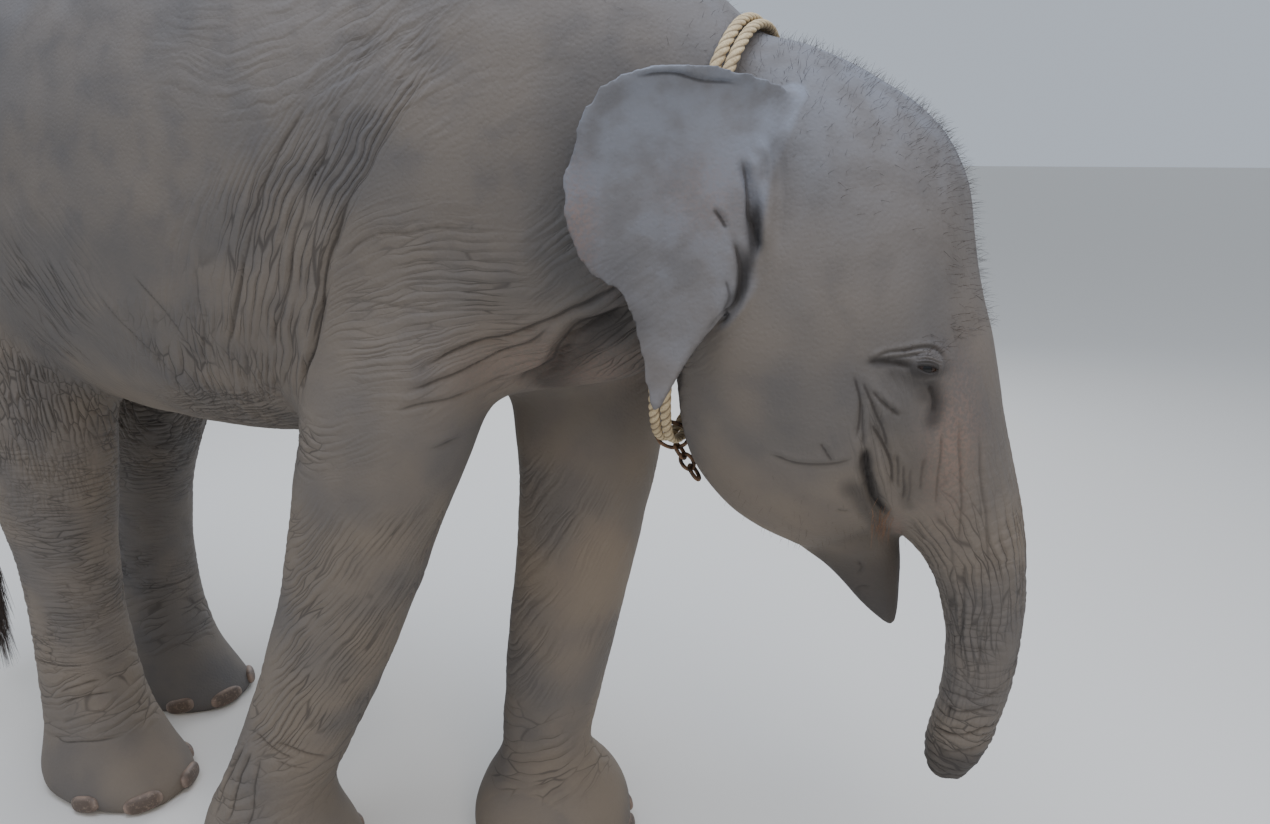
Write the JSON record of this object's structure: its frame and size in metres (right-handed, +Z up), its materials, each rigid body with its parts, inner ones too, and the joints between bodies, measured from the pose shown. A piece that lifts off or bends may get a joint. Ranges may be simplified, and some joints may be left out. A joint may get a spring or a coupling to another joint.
{
  "type": "asian elephant",
  "caption": "Life-size still model of a young Asian elephant, walking with lowered head, with a rope collar.",
  "frame": {"origin": "on the floor, below the middle of the whole animal's box", "axes": "+X from tail to head, +Y to the animal's left, +Z up"},
  "size_m": [2.3522, 0.7436, 1.7698],
  "materials": {
    "hide": "wrinkled grey-brown elephant skin",
    "dark_hide": "darker skin of the lip and the trunk tip",
    "eyeball": "dark brown wet eye",
    "nail": "worn pinkish horn",
    "hair": "coarse black tail hair",
    "rope": "twisted pale fibre rope",
    "iron": "brown rusted chain iron"
  },
  "bodies": {
    "root": {"chain_link_1": "iron", "chain_link_2": "iron", "chain_link_3": "iron", "collar_ring": "iron", "collar_strand_1": "rope", "collar_strand_2": "rope", "ear_left": "hide", "ear_right": "hide", "eye_left": "eyeball", "eye_right": "eyeball", "fore_left_foot": "hide", "fore_left_lower": "hide", "fore_left_nail_1": "nail", "fore_left_nail_2": "nail", "fore_left_nail_3": "nail", "fore_left_nail_4": "nail", "fore_left_nail_5": "nail", "fore_left_upper": "hide", "fore_right_foot": "hide", "fore_right_lower": "hide", "fore_right_nail_1": "nail", "fore_right_nail_2": "nail", "fore_right_nail_3": "nail", "fore_right_nail_4": "nail", "fore_right_nail_5": "nail", "fore_right_upper": "hide", "head": "hide", "hind_left_foot": "hide", "hind_left_lower": "hide", "hind_left_nail_1": "nail", "hind_left_nail_2": "nail", "hind_left_nail_3": "nail", "hind_left_nail_4": "nail", "hind_left_upper": "hide", "hind_right_foot": "hide", "hind_right_lower": "hide", "hind_right_nail_1": "nail", "hind_right_nail_2": "nail", "hind_right_nail_3": "nail", "hind_right_nail_4": "nail", "hind_right_upper": "hide", "lower_jaw": "dark_hide", "neck": "hide", "tail_1": "hide", "tail_2": "hide", "tail_tuft": "hair", "torso_belly": "hide", "torso_chest": "hide", "torso_rump": "hide", "trunk_1": "hide", "trunk_2": "hide", "trunk_3": "hide", "trunk_4": "dark_hide"}
  },
  "joints": []
}
